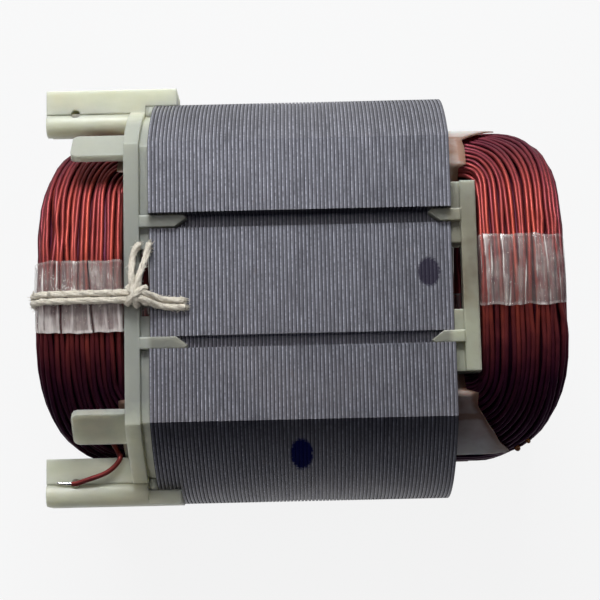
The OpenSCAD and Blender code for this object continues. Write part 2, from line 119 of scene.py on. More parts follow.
# Mesh making
def piece(name, verts, faces, mats, uvs, tone, mat_ids):
    mesh = bpy.data.meshes.new(name)
    mesh.from_pydata((np.asarray(verts) * MM).tolist(), [], faces)
    for mat in mats:
        mesh.materials.append(mat)
    layer = mesh.uv_layers.new(name="along_round")
    layer.data.foreach_set("uv", np.asarray(uvs, dtype=np.float32).ravel())
    attribute = mesh.attributes.new("tone", "FLOAT", "POINT")
    attribute.data.foreach_set("value", np.asarray(tone, dtype=np.float32))
    mesh.polygons.foreach_set("material_index", np.asarray(mat_ids, dtype=np.int32))
    mesh.shade_smooth()
    mesh.update()
    obj = bpy.data.objects.new(name, mesh)
    scene.collection.objects.link(obj)
    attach(obj, "root")
    return obj


def unit_rows(v):
    return v / np.maximum(np.linalg.norm(v, axis=1, keepdims=True), 1e-9)


def tangents(path, closed):
    if closed:
        return unit_rows(np.roll(path, -1, 0) - np.roll(path, 1, 0))
    return unit_rows(np.gradient(path, axis=0))


def carried(path):
    """Tangents of an open path, and a direction across it that is carried along without twist."""
    t = tangents(path, False)
    side = np.cross(t[0], (0, 1, 0) if abs(t[0][1]) < 0.8 else (1, 0, 0))
    out = []
    for row in t:
        side = side - row * side.dot(row)
        side = side / np.linalg.norm(side)
        out.append(side)
    return t, np.array(out)


class Shape:
    """Collects tubes and sheets into one mesh. The tone of a point goes to its material."""

    def __init__(self):
        self.verts, self.faces, self.uvs, self.tone, self.ids, self.count = [], [], [], [], [], 0

    def add(self, verts, faces, uvs, tone, mat_id):
        self.verts.append(np.asarray(verts))
        self.faces.extend([[self.count + i for i in f] for f in faces])
        self.uvs.extend(uvs)
        self.tone.extend(tone)
        self.ids.extend([mat_id] * len(faces))
        self.count += len(verts)

    def tube(self, path, radius, sides, ups=None, closed=False, tone=0.5, mat_id=0):
        path = np.asarray(path, dtype=float)
        n = len(path)
        radius = np.broadcast_to(np.asarray(radius, dtype=float), (n,))
        if ups is None:
            t, ups = carried(path)
        else:
            t = tangents(path, closed)
            ups = unit_rows(ups - t * (ups * t).sum(1, keepdims=True))
        across = np.cross(t, ups)
        phi = (2 * math.pi * np.arange(sides) / sides)[None, :, None]
        ring = ups[:, None, :] * np.cos(phi) + across[:, None, :] * np.sin(phi)
        verts = (path[:, None, :] + ring * radius[:, None, None]).reshape(-1, 3)
        step = np.linalg.norm(np.diff(path, axis=0, append=path[:1]), axis=1)
        s = np.concatenate([[0], np.cumsum(step)])
        faces, uvs = [], []
        for i in range(n if closed else n - 1):
            a, b = i * sides, ((i + 1) % n) * sides
            for j in range(sides):
                m = (j + 1) % sides
                faces.append((a + j, a + m, b + m, b + j))
                v0, v1 = j / sides, (j + 1) / sides
                uvs += [(s[i], v0), (s[i], v1), (s[i + 1], v1), (s[i + 1], v0)]
        if not closed:
            faces.append(tuple(range(sides - 1, -1, -1)))
            faces.append(tuple((n - 1) * sides + j for j in range(sides)))
            uvs += [(0, 0.5)] * sides + [(s[n - 1], 0.5)] * sides
        tones = np.repeat(np.broadcast_to(np.asarray(tone, dtype=float), (n,)), sides)
        self.add(verts, faces, uvs, tones.tolist(), mat_id)

    def sheet(self, grid, closed_u, tone):
        grid = np.asarray(grid, dtype=float)
        nu, nv = grid.shape[:2]
        faces, uvs = [], []
        for i in range(nu if closed_u else nu - 1):
            for j in range(nv - 1):
                k = (i + 1) % nu
                faces.append((i * nv + j, k * nv + j, k * nv + j + 1, i * nv + j + 1))
                u0, u1, v0, v1 = i / nu, (i + 1) / nu, j / nv, (j + 1) / nv
                uvs += [(u0, v0), (u1, v0), (u1, v1), (u0, v1)]
        tones = np.broadcast_to(np.asarray(tone, dtype=float), (nu, nv)).ravel()
        self.add(grid.reshape(-1, 3), faces, uvs, tones.tolist(), 0)

    def patch(self, quad):
        """Adds a face between points that are there."""
        self.faces.append(quad)
        self.uvs.extend([(0, 0)] * len(quad))
        self.ids.append(0)

    def done(self, name, mats):
        return piece(name, np.concatenate(self.verts), self.faces, mats, self.uvs, self.tone, self.ids)


def curve(points, steps):
    """A smooth path through points, with so many steps from each to the next."""
    p = np.asarray(points, dtype=float)
    n = len(p) - 1
    out = []
    for i in range(n):
        a, b, c, d = p[max(i - 1, 0)], p[i], p[i + 1], p[min(i + 2, n)]
        for t in np.arange(steps) / steps:
            square, cube = 2 * a - 5 * b + 4 * c - d, 3 * b - a - 3 * c + d
            out.append(0.5 * (2 * b + (c - a) * t + square * t ** 2 + cube * t ** 3))
    return np.array(out + [p[n]])


def resample(path, step):
    s = np.concatenate([[0], np.cumsum(np.linalg.norm(np.diff(path, axis=0), axis=1))])
    at = np.linspace(0, s[-1], max(2, int(s[-1] / step)))
    return np.stack([np.interp(at, s, path[:, c]) for c in range(3)], 1), at


def wander(x, y, seed):
    return noise.noise(Vector((x, y, seed * 7.31 + 0.37)))


def ramp(value, low, high):
    return max(0.0, min(1.0, (value - low) / (high - low)))


# Material making
class Graph:
    """A node tree, with short ways to add to it. Colours are given as red, green and blue."""

    def __init__(self, tree):
        self.tree = tree

    def add(self, kind, inputs=None, **props):
        made = self.tree.nodes.new(kind)
        for key, value in props.items():
            setattr(made, key, value)
        for key, value in (inputs or {}).items():
            self.feed(made, key, value)
        return made

    def feed(self, node, key, value):
        if isinstance(value, bpy.types.NodeSocket):
            self.tree.links.new(value, node.inputs[key])
        else:
            node.inputs[key].default_value = value

    def math(self, operation, a, b=0.0):
        return self.add("ShaderNodeMath", {0: a, 1: b}, operation=operation).outputs[0]

    def plus(self, a, b):
        return self.math("ADD", a, b)

    def minus(self, a, b):
        return self.math("SUBTRACT", a, b)

    def times(self, a, b):
        return self.math("MULTIPLY", a, b)

    def mix(self, factor, a, b):
        a, b = ((*c, 1) if isinstance(c, tuple) else c for c in (a, b))
        return self.add("ShaderNodeMix", {0: factor, 6: a, 7: b}, data_type="RGBA").outputs[2]

    def span(self, value, from_low, from_high, to_low=0.0, to_high=1.0):
        return self.add("ShaderNodeMapRange", {"Value": value, "From Min": from_low, "From Max": from_high,
                                               "To Min": to_low, "To Max": to_high}).outputs[0]

    def grain(self, vector, scale, detail, rough=0.55):
        return self.add("ShaderNodeTexNoise", {"Vector": vector, "Scale": scale, "Detail": detail,
                                               "Roughness": rough}).outputs[0]

    def millimetres(self):
        coords = self.add("ShaderNodeTexCoord").outputs["Object"]
        return self.add("ShaderNodeVectorMath", {0: coords, "Scale": 1000.0}, operation="SCALE").outputs[0]

    def length(self, vector):
        return self.add("ShaderNodeVectorMath", {0: vector}, operation="LENGTH").outputs["Value"]

    def xyz(self, vector):
        return self.add("ShaderNodeSeparateXYZ", {0: vector}).outputs

    def stretched(self, vector, scale, rotation=(0, 0, 0)):
        return self.add("ShaderNodeMapping", {"Vector": vector, "Scale": scale,
                                              "Rotation": rotation}).outputs[0]

    def tone(self):
        return self.add("ShaderNodeAttribute", attribute_name="tone").outputs["Fac"]

    def bump(self, shader, height, strength, distance):
        made = self.add("ShaderNodeBump", {"Height": height, "Strength": strength, "Distance": distance})
        self.feed(shader, "Normal", made.outputs[0])
        return made


def material(name, **sockets):
    mat = bpy.data.materials.new(name)
    mat.use_nodes = True
    shader = mat.node_tree.nodes["Principled BSDF"]
    for key, value in sockets.items():
        shader.inputs[key.replace("_", " ")].default_value = value
    return mat, shader, Graph(mat.node_tree)


def steel():
    mat, shader, g = material("lamination_steel")
    at = g.millimetres()
    x, y, z = g.xyz(at)
    along = g.math("DIVIDE", g.plus(x, HALF_L), LAM_PITCH)
    sheet_no, part = g.math("FLOOR", along), g.math("FRACT", along)

    def on_edge(jump, scale):
        """A place that runs along the edge of a sheet, and jumps from sheet to sheet."""
        return g.add("ShaderNodeCombineXYZ", {0: g.times(sheet_no, jump), 1: g.times(y, scale),
                                              2: g.times(z, scale)}).outputs[0]

    tone = g.add("ShaderNodeTexWhiteNoise", {"W": sheet_no}, noise_dimensions="1D").outputs["Value"]
    streak = g.grain(on_edge(3.7, 0.22), 1.0, 4.0)
    dash = g.grain(on_edge(5.3, 1.7), 1.0, 3.0, 0.7)
    smudge = g.grain(at, 0.07, 4.0)
    speck = g.grain(at, 2.2, 2.0)
    level = g.plus(g.times(tone, 0.16), g.plus(g.times(streak, 0.4), g.times(smudge, 0.45)))
    colour = g.mix(g.span(level, 0.3, 0.75), (0.138, 0.136, 0.152), (0.234, 0.23, 0.256))
    # Painted reflection of the pale floor: a lighter, brownish haze towards the front
    painted_front_haze = g.times(g.span(y, 6.0, -22.0), g.span(smudge, 0.35, 0.65))
    colour = g.mix(g.times(painted_front_haze, 0.3), colour, (0.235, 0.212, 0.205))
    rust = g.times(g.span(g.grain(at, 0.35, 5.0), 0.66, 0.78), 0.3)
    colour = g.mix(rust, colour, (0.2, 0.14, 0.11))
    # Each sheet has a bright sheared edge, partly a painted highlight, and a dark line beside it
    bright = g.span(g.math("ABSOLUTE", g.minus(part, 0.30)), 0.19, 0.04)
    bright = g.times(bright, g.times(g.span(streak, 0.3, 0.65, 0.4, 1.0), g.span(dash, 0.35, 0.65, 0.25, 1.15)))
    colour = g.mix(bright, colour, (0.54, 0.54, 0.61))
    line = g.span(g.math("ABSOLUTE", g.minus(part, 0.5)), 0.34, 0.42)
    colour = g.mix(g.times(line, 0.75), colour, (0.05, 0.05, 0.062))
    # Two dabs of marking ink on the upper side, smeared across the sheets
    top = g.math("GREATER_THAN", z, 5.0)
    bare = 1.0
    for cx, cy, rx, ry, ink, strength in ((21.7, 0.75, 2.0, 2.6, (0.018, 0.012, 0.03), 0.86),
                                          (-0.55, -29.35, 2.0, 2.5, (0.002, 0.006, 0.11), 0.97)):
        far_x = g.math("DIVIDE", g.minus(x, cx), rx)
        far_y = g.math("DIVIDE", g.minus(y, cy), ry)
        far = g.math("SQRT", g.plus(g.math("POWER", far_x, 2.0), g.math("POWER", far_y, 2.0)))
        ragged = g.plus(far, g.times(g.minus(speck, 0.5), 0.5))
        dab = g.times(g.times(g.span(ragged, 1.05, 0.85), strength), top)
        colour = g.mix(dab, colour, ink)
        bare = g.times(bare, g.minus(1.0, dab))
    g.feed(shader, "Base Color", colour)
    g.feed(shader, "Metallic", g.times(bare, 0.9))
    g.feed(shader, "Specular IOR Level", g.times(bare, 0.5))
    g.feed(shader, "Roughness", g.span(g.plus(streak, g.times(speck, 0.5)), 0.4, 1.1, 0.38, 0.58))
    g.bump(shader, g.plus(g.times(speck, 0.6), g.times(bright, 0.5)), 0.3, 0.00004)
    return mat


def nylon(name, base, dark, thin, bright_from, stain, stain_scale, stain_share, front_light_share):
    """Milky moulded nylon.

    It is painted darker, as shade, where it is thin and lies on the dark windings, nearer than bright_from to
    the middle.
    """
    mat, shader, g = material(name, Subsurface_Weight=0.8, Subsurface_Scale=0.005, Specular_IOR_Level=0.45)
    shader.inputs["Subsurface Radius"].default_value = (1.0, 0.95, 0.8)
    at = g.millimetres()
    x, y, z = g.xyz(at)
    out_y = g.math("ABSOLUTE", y)
    cloud = g.grain(at, 0.16, 3.0)
    uneven = g.minus(cloud, 0.5)
    flow = g.grain(g.stretched(at, (0.12, 0.5, 0.5)), 1.0, 3.0)
    level = g.plus(g.times(cloud, 0.6), g.times(flow, 0.5))
    colour = g.mix(g.span(level, 0.35, 0.75), dark, base)
    # Painted shade where thin nylon lies on the windings
    inner = g.span(g.plus(out_y, g.times(uneven, 8.0)), bright_from, bright_from - 8.0, 0.0, 0.85)
    colour = g.mix(inner, colour, thin)
    blotch = g.span(g.grain(at, stain_scale, 2.0), 0.5, 0.7)
    colour = g.mix(g.times(blotch, stain_share), colour, stain)
    # Painted light lifts the front, which lies in shade
    front = g.span(g.plus(y, g.times(uneven, 10.0)), -1.0, -9.0, 0.0, front_light_share)
    colour = g.mix(front, colour, base)
    # Painted shade makes the clips darker where they lie on the dark core, and the back of the upper side is
    # greyer
    on_core = g.times(g.span(x, -26.2, -25.2), g.span(x, 25.6, 24.6))
    clip = g.times(on_core, g.span(out_y, 20.0, 17.0, 0.0, 0.85))
    colour = g.mix(clip, colour, (0.17, 0.17, 0.14))
    high = g.times(g.span(z, 16.0, 21.0), g.span(y, 10.0, 20.0))
    colour = g.mix(g.times(high, 0.9), colour, (0.36, 0.37, 0.31))
    g.feed(shader, "Base Color", colour)
    g.feed(shader, "Roughness", g.span(g.grain(at, 0.8, 4.0), 0.3, 0.7, 0.3, 0.5))
    height = g.plus(g.grain(at, 0.7, 3.0), g.times(g.grain(at, 5.0, 2.0), 0.12))
    made = g.bump(shader, height, 0.35, 0.00012)
    g.feed(made, "Normal", g.add("ShaderNodeBevel", {"Radius": 0.00035}, samples=6).outputs[0])
    return mat


def enamel(name, crown_from, crown_to, painted_front_shade):
    """Enamel over copper, with painted light making it more orange from one height to another, and painted
    shade making it darker towards the front.
    """
    mat, shader, g = material(name, Metallic=0.8, Coat_Weight=0.08, Coat_Roughness=0.3)
    at = g.millimetres()
    _, y, z = g.xyz(at)
    blotch = g.grain(at, 0.45, 3.0)
    level = g.plus(g.times(g.tone(), 0.75), g.times(blotch, 0.35))
    # Painted light: the wires higher up are more orange
    crown_light = g.span(g.math("ABSOLUTE", z), crown_from, crown_to)
    bright = g.mix(crown_light, (0.21, 0.03, 0.043), (0.45, 0.076, 0.045))
    colour = g.mix(g.span(level, 0.15, 0.95), (0.08, 0.008, 0.028), bright)
    # Painted shade: darker towards the front
    colour = g.mix(g.span(y, -7.0, -18.0, 0.0, painted_front_shade), colour, (0.026, 0.003, 0.036))
    g.feed(shader, "Base Color", colour)
    g.feed(shader, "Roughness", g.span(blotch, 0.3, 0.7, 0.44, 0.6))
    g.bump(shader, g.grain(at, 3.0, 2.0), 0.2, 0.00005)
    return mat


def film():
    mat, shader, g = material("film_tape", Roughness=0.07, Specular_IOR_Level=0.6, Coat_Weight=0.6,
                              Coat_Roughness=0.06)
    at = g.millimetres()
    tone = g.tone()
    milk = g.grain(at, 0.4, 3.0)
    crease = g.grain(g.stretched(at, (1.5, 0.14, 0.9)), 1.0, 4.0)
    cling = g.plus(g.times(g.minus(crease, 0.5), 0.8), g.times(g.minus(g.grain(at, 0.22, 2.0), 0.5), 0.7))
    haze = g.plus(tone, cling)
    body = g.mix(g.span(milk, 0.35, 0.65), (0.36, 0.27, 0.26), (0.54, 0.47, 0.43))
    colour = g.mix(g.span(haze, 0.7, 1.05), body, (0.88, 0.80, 0.75))
    # Painted shade makes the film dark where two folds meet
    crevice_shade = g.span(tone, 0.14, 0.05)
    g.feed(shader, "Base Color", g.mix(crevice_shade, colour, (0.012, 0.006, 0.008)))
    clear = g.span(haze, 0.2, 0.95, 0.08, 0.85)
    g.feed(shader, "Alpha", g.math("MAXIMUM", clear, g.times(crevice_shade, 0.85)))
    g.bump(shader, g.plus(crease, g.times(g.grain(at, 1.3, 3.0), 0.3)), 0.35, 0.0003)
    return mat


def cotton():
    mat, shader, g = material("cotton_cord", Roughness=0.85, Specular_IOR_Level=0.2, Sheen_Weight=0.3)
    uv = g.add("ShaderNodeTexCoord").outputs["UV"]
    fibre = g.grain(g.stretched(uv, (1.3, 16.0, 1.0), (0, 0, 0.12)), 1.0, 4.0, 0.65)
    fuzz = g.grain(g.millimetres(), 5.0, 4.0, 0.7)
    level = g.plus(g.times(fibre, 0.6), g.times(fuzz, 0.4))
    colour = g.mix(g.span(level, 0.36, 0.6), (0.52, 0.44, 0.32), (0.90, 0.84, 0.72))
    g.feed(shader, "Base Color", colour)
    g.bump(shader, level, 1.0, 0.0003)
    return mat


def paper():
    mat, shader, g = material("liner_paper", Roughness=0.5, Specular_IOR_Level=0.4, Subsurface_Weight=0.2,
                              Subsurface_Scale=0.001)
    at = g.millimetres()
    level = g.plus(g.times(g.grain(at, 0.25, 4.0), 0.5), g.times(g.tone(), 0.7))
    colour = g.mix(g.span(level, 0.25, 0.85), (0.29, 0.16, 0.11), (0.74, 0.69, 0.65))
    g.feed(shader, "Base Color", colour)
    g.bump(shader, g.grain(g.stretched(at, (0.6, 3.0, 3.0)), 1.0, 4.0), 0.3, 0.0001)
    return mat


def glossy(name, low, high, rough, metallic):
    mat, shader, g = material(name, Metallic=metallic)
    at = g.millimetres()
    cloud = g.grain(at, 0.7, 4.0)
    g.feed(shader, "Base Color", g.mix(g.span(cloud, 0.35, 0.65), low, high))
    g.feed(shader, "Roughness", g.span(cloud, 0.3, 0.7, rough, rough + 0.15))
    g.bump(shader, g.grain(at, 4.0, 2.0), 0.2, 0.00005)
    return mat


STEEL = steel()
NYLON = nylon("natural_nylon", (0.63, 0.635, 0.49), (0.53, 0.54, 0.405), (0.225, 0.235, 0.215), 28.0,
              (0.62, 0.52, 0.37), 0.09, 0.35, 0.0)
CAP_NYLON = nylon("natural_nylon_cap", (0.42, 0.43, 0.32), (0.22, 0.20, 0.145), (0.215, 0.20, 0.145), 20.0,
                  (0.13, 0.09, 0.052), 0.2, 0.75, 0.7)
ENAMEL = enamel("enamelled_copper", 15.0, 25.5, 0.78)
LEAD = enamel("enamelled_lead", -2.0, -1.0, 0.0)
FILM = film()
COTTON = cotton()
PAPER = paper()
VARNISH = glossy("varnish", (0.16, 0.035, 0.012), (0.42, 0.17, 0.04), 0.12, 0.0)
TINNED = glossy("tinned_brass", (0.50, 0.48, 0.42), (0.70, 0.68, 0.62), 0.28, 1.0)
SOLDER = glossy("solder", (0.62, 0.62, 0.62), (0.85, 0.85, 0.83), 0.18, 1.0)

for name, mat in (("lamination_stack", STEEL), ("terminal_end_frame", NYLON), ("upper_pole_cap", CAP_NYLON),
                  ("lower_pole_cap", CAP_NYLON), ("front_terminal", TINNED), ("back_terminal", TINNED)):
    mesh = nodes[name].data
    mesh.materials.clear()
    mesh.materials.append(mat)


# Windings: wires laid over the skin of each coil
def fill(angle):
    rise = np.sin(np.radians(90 * np.clip((angle - CROWN_HALF) / (COIL_OUT_HALF - CROWN_HALF), 0, 1)))
    return 1 + (COIL_SIDE_R - COIL_OUT_R) / END_TURN_T * rise


def skin_lengths(a):
    return np.array([BUNDLE_W - COIL_ROUND - a, math.pi / 2 * (COIL_ROUND - a), END_TURN_T - COIL_ROUND - a,
                     BUNDLE_W - 2 * a, END_TURN_T - 2 * a])


def skin_point(u, a):
    """Point of the section at a way u round its skin, inset by a, as width and height."""
    legs = skin_lengths(a)
    u = u % legs.sum()
    if u < legs[0]:
        return a + u, END_TURN_T - a
    u -= legs[0]
    if u < legs[1]:
        b = u / (COIL_ROUND - a)
        return (BUNDLE_W - COIL_ROUND + (COIL_ROUND - a) * math.sin(b),
                END_TURN_T - COIL_ROUND + (COIL_ROUND - a) * math.cos(b))
    u -= legs[1]
    if u < legs[2]:
        return BUNDLE_W - a, END_TURN_T - COIL_ROUND - u
    u -= legs[2]
    if u < legs[3]:
        return BUNDLE_W - a - u, a
    return a, a + u - legs[3]


def stations(arch, corner):
    """Places round the loop: signs of the end and the side, and the way along an arch (0) or a corner (1)."""
    quarter = [(0, i / arch) for i in range(arch)] + [(1, 90 * i / corner) for i in range(corner + 1)]
    return ([(1, 1, s) for s in quarter] + [(-1, 1, s) for s in reversed(quarter)]
            + [(-1, -1, s) for s in quarter[1:]] + [(1, -1, s) for s in reversed(quarter[1:])])


def loop_point(st, w, h):
    """Point of the loop at a station, for a width and a height in the section."""
    k = w / BUNDLE_W
    x = COIL_IN_X + w
    half = COIL_IN_HALF + (COIL_OUT_HALF - COIL_IN_HALF) * k
    corner_x = CORNER_IN_X + (CORNER_OUT_X - CORNER_IN_X) * k
    corner_half = CORNER_IN_HALF + (CORNER_OUT_HALF - CORNER_IN_HALF) * k
    sx, sy, (kind, value) = st
    if kind == 0:
        angle = (half - corner_half) * value
    else:
        b = math.radians(value)
        full = FULLNESS[sx, sy]
        x -= corner_x * (1 - max(0.0, math.cos(b)) ** full)
        angle = half - corner_half * (1 - math.sin(b) ** full)
    r = COIL_IN_R + h * fill(angle)
    a = math.radians(angle) * sy
    y = r * math.sin(a)
    bulge = ramp(-y, 5.0, 11.0) + (ramp(y, 12.0, 20.0) if sx > 0 else 0.0)
    return (sx * (x + CORNER_BULGE * k * k * bulge), y, r * math.cos(a))


def spread(st):
    """How much wider the section is at a station than in the middle of an end turn."""
    kind, value = st[2]
    share = ARCH_SHARE * value if kind == 0 else ARCH_SHARE + (1 - ARCH_SHARE) * math.sin(math.radians(value))
    return 1 + LEG_SPREAD * share


def winding(name, seed, lower):
    shape = Shape()
    way = stations(10, 14)
    turn_at = np.arange(len(way)) * 2 * math.pi / len(way)
    rng = random.Random(seed)

    def lay(inset, offset, last):
        """Lays wires at an inset, up to a share of the way round the skin."""
        total = skin_lengths(inset).sum()
        count = int(round(total / SHOWN_WIRE))
        for i in range(count):
            u0 = (i + offset) * total / count
            if u0 / total > last:
                break
            points = []
            for st, t in zip(way, turn_at):
                side = WIRE_SWAY * wander(1.5 * math.cos(t) + i * 3.1, 1.5 * math.sin(t), seed)
                sink = WIRE_SINK * abs(wander(1.9 * math.cos(t) + i * 5.7, 1.9 * math.sin(t), seed + 3))
                deep = (inset + sink) / spread(st)
                w, h = skin_point((u0 + side) * skin_lengths(deep).sum() / total, deep)
                points.append(loop_point(st, w, h))
            points = np.array(points)
            tone = min(1.0, max(0.0, rng.gauss(0.55, 0.2)))
            shape.tube(points, SHOWN_WIRE / 2 - 0.01, 8, points * (0, 1, 1), True, tone)

    lay(SHOWN_WIRE / 2, 0.5, 1.0)
    lay(SHOWN_WIRE / 2 + SECOND_LAYER, 0.0, SECOND_SHARE)
    # A body under the wires, given the darkest tone as painted shade in the gaps between them
    ring = 30
    total = skin_lengths(WINDING_CORE).sum()
    section = [skin_point((i + 0.5) * total / ring, WINDING_CORE) for i in range(ring)]
    grid = np.array([[loop_point(st, w, h) for w, h in section + section[:1]] for st in way])
    shape.sheet(grid, True, 0.02)
    bead = np.linspace(-1, 1, 9)
    for mid, size in () if lower else VARNISH_DROPS:
        spine = mid + bead[:, None] * size * np.array([0.75, 0.55, 0.2])
        shape.tube(spine, size * np.sqrt(1.0001 - bead ** 2), 12, mat_id=1)
    obj = shape.done(name, [ENAMEL, VARNISH])
    if lower:
        obj.data.transform(Matrix.Rotation(math.pi, 4, "X"))
    return obj


for name, seed, lower in (("upper_winding", 3, False), ("lower_winding", 11, True)):
    obj = winding(name, seed, lower)
    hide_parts("lower_coil" if lower else "upper_coil")

# Roots of the posts, which close the frame between its base and the tongues
roots = Shape()
for side in (1, -1):
    rows = [[(x, side * math.sqrt(r * r - z * z), z) for x, r in ROOT_SECTION[::side]]
            for z in np.linspace(POST_TOP - POST_H + ROOT_ROOM, POST_TOP - ROOT_ROOM, 12)]
    first, last = ([tuple(np.mean(row[:-1], 0))] * len(row) for row in (rows[0], rows[-1]))
    roots.sheet([first] + rows + [last], False, 0.5)
roots.done("post_roots", [NYLON])


# Film tape round the end turns, creased along the wires, with the end of the strip lapped over the start
def outline():
    """Smoothed outline of an end turn from its inner upper edge, as width and height, and its normals."""
    legs = skin_lengths(0.0)
    ways = np.arange(720) * legs.sum() / 720
    rows = np.array([skin_point(u, 0.0) for u in ways])
    for _ in range(60):
        rows = (np.roll(rows, 1, 0) + 2 * rows + np.roll(rows, -1, 0)) / 4
    run = unit_rows(np.roll(rows, -1, 0) - np.roll(rows, 1, 0))
    return rows, np.stack([-run[:, 1], run[:, 0]], 1)


BAND, BAND_OUT = outline()


def tape(name, node, sign, middle, lower, seed, front_haze_and_light, folds):
    """A band of film.

    Folds are given as edge, haze and depth of the crease, and go on at random where none is given.
    """
    shape = Shape()
    rng = random.Random(seed)
    folds = list(folds) or [(0.0, 0.5, 0.3)]
    while folds[-1][0] < 0.92:
        folds.append((folds[-1][0] + rng.uniform(0.04, 0.08), rng.uniform(0.3, 0.65), rng.uniform(0.2, 0.9)))
    folds[-1] = (1.0, folds[0][1], folds[0][2])
    slants = [0.0] + [rng.gauss(0, 0.014) for _ in folds[1:-1]] + [0.0]
    leans = [rng.choice((0.65, 1.5)) for _ in folds]

    def fold(u, v):
        """Height of the fold at a place, depth of the crease, way across the fold, and its haze."""
        marks = [f[0] + s * (v - 0.5) + 0.004 * wander(v * 3, f[0] * 40, seed) for f, s in zip(folds, slants)]
        marks[0], marks[-1] = 0.0, 1.0
        for i in range(len(marks) - 1):
            if marks[i] <= u <= marks[i + 1]:
                wide = max(1e-6, marks[i + 1] - marks[i])
                share = (u - marks[i]) / wide
                depth = folds[i][2] if share < 0.5 else folds[i + 1][2]
                hump = math.sin(math.pi * share ** leans[i]) ** 0.45
                gap = max(0.0, 1 - min(share, 1 - share) * wide / CREASE_W)
                return 1 - depth * (1 - hump), depth * gap, share, folds[i][1]
        return 1.0, 0.0, 0.5, 0.5

    def layer(u_from, u_to, nu, lift, haze, closed):
        nv = 40
        rows, tones = [], []
        for i in range(nu + (0 if closed else 1)):
            u = u_from + (u_to - u_from) * i / nu
            at = int(u % 1.0 * len(BAND))
            row, row_tone = [], []
            for j in range(nv + 1):
                v = j / nv
                ragged = TAPE_RAGGED * wander(u * 17, 4.0 if v < 0.5 else 9.0, seed) * (2 * v - 1)
                y = middle + TAPE_W * (v - 0.5) + ragged
                high, crease, share, cloud = fold(u % 1.0, v)
                pucker = max(0.0, wander(u * 30 + v * 2, v * 5, seed + 2)) * PUCKER_H
                w, h = BAND[at] + BAND_OUT[at] * (0.02 + lift + FOLD_H * high + pucker)
                w -= PLAIN_LEAN * (w / BUNDLE_W) ** 2 if sign > 0 else 0.0
                angle = math.asin(y / COIL_OUT_R)
                r = COIL_IN_R + h
                row.append((sign * (COIL_IN_X + w), r * math.sin(angle), r * math.cos(angle)))
                # Painted glints: the edges and a crest of each fold are made whiter
                edge = 0.25 if v < 0.03 or v > 0.97 else 0.0
                glint = max(0.0, wander(u * 40, v * 2.5, seed + 5) + 0.15)
                crest_glint = 2.2 * max(0.0, 1 - abs(share - 0.2) / 0.08) * glint
                # Painted light: the film is made hazier and brighter towards the front, which lies in shade
                tone = max(0.16, haze + cloud + front_haze_and_light * (0.5 - v) + edge + crest_glint)
                row_tone.append(min(1.0, max(0.0, tone * (1 - min(1.0, 1.5 * crease * crease)))))
            rows.append(row)
            tones.append(row_tone)
        shape.sheet(rows, closed, np.array(tones))

    layer(0.0, 1.0, 360, 0.0, 0.0, True)
    layer(0.04, 0.27, 80, 0.04, -0.15, False)
    obj = shape.done(name, [FILM])
    if lower:
        obj.data.transform(Matrix.Rotation(math.pi, 4, "X"))
    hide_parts(node)


tape("film_upper_terminal", "coil_tape_upper_terminal", -1, TAPE_MID_TERMINAL, False, 21, 0.75,
     ((0.0, 0.6, 0.2), (0.07, 0.75, 0.4), (0.145, 0.55, 1.0), (0.21, 0.7, 0.3), (0.285, 0.6, 1.0),
      (0.355, 0.65, 0.4)))
tape("film_upper_plain", "coil_tape_upper_plain", 1, TAPE_MID_PLAIN, False, 32, 0.1,
     ((0.0, 0.25, 0.3), (0.022, 0.85, 0.6), (0.04, 0.4, 0.4), (0.1, 0.55, 0.6), (0.135, 0.2, 0.5),
      (0.175, 0.5, 0.4), (0.2, 0.12, 0.6), (0.255, 0.55, 0.5), (0.305, 0.5, 0.4), (0.36, 0.3, 0.5)))
tape("film_lower_terminal", "coil_tape_lower_terminal", -1, TAPE_MID_TERMINAL, True, 43, 0.0, ())
tape("film_lower_plain", "coil_tape_lower_plain", 1, TAPE_MID_PLAIN, True, 54, 0.0, ())

# Lacing cord: soft four-ply strands, with loose fibres
CORD_R = CORD_D / 2
lace_in_x = -HALF_L - 0.85
lace_gap = 0.25 + 0.1 + CORD_R
lace_out_x = -(COIL_IN_X + BUNDLE_W) - 0.42
lace_y, lace_top = -3.6, COIL_OUT_R + lace_gap
lace_low = math.sqrt((COIL_IN_R - 0.25) ** 2 - (CORD_R - lace_y) ** 2) - 0.05 - CORD_R
bend, tight, broad = 1.6, CORD_R + 0.2, COIL_ROUND + 0.42
# Each corner of a turn as x, z, radius and the angle at which it starts
corners = ((lace_in_x - bend, lace_low + bend, bend, 0), (lace_out_x + tight, lace_low + tight, tight, -90),
           (lace_out_x + broad, lace_top - broad, broad, -180), (lace_in_x - bend, lace_top - bend, bend, -270))
lace = Shape()
rng = random.Random(5)
under = [BVHTree.FromObject(nodes[name], bpy.context.evaluated_depsgraph_get())
         for name in ("terminal_end_frame", "lamination_stack")]


def floor_under(point):
    start = Vector((point[0] * MM, point[1] * MM, 0.04))
    hits = [tree.ray_cast(start, Vector((0, 0, -1))) for tree in under]
    return max([hit[0].z / MM for hit in hits if hit[0] is not None] or [-99.0])


def hair(root, out, length, spread_by):
    lean = np.array([rng.gauss(0, spread_by) for _ in range(3)])
    q = np.array([root - out * 0.2, root + out * length * 0.5 + lean * 0.2,
                  root + out * length + lean * length])
    q[:, 2] = np.maximum(q[:, 2], floor_under(q[2]) + 0.05)
    lace.tube(curve(q, 3), np.linspace(0.05, 0.025, 7), 4, tone=0.7)


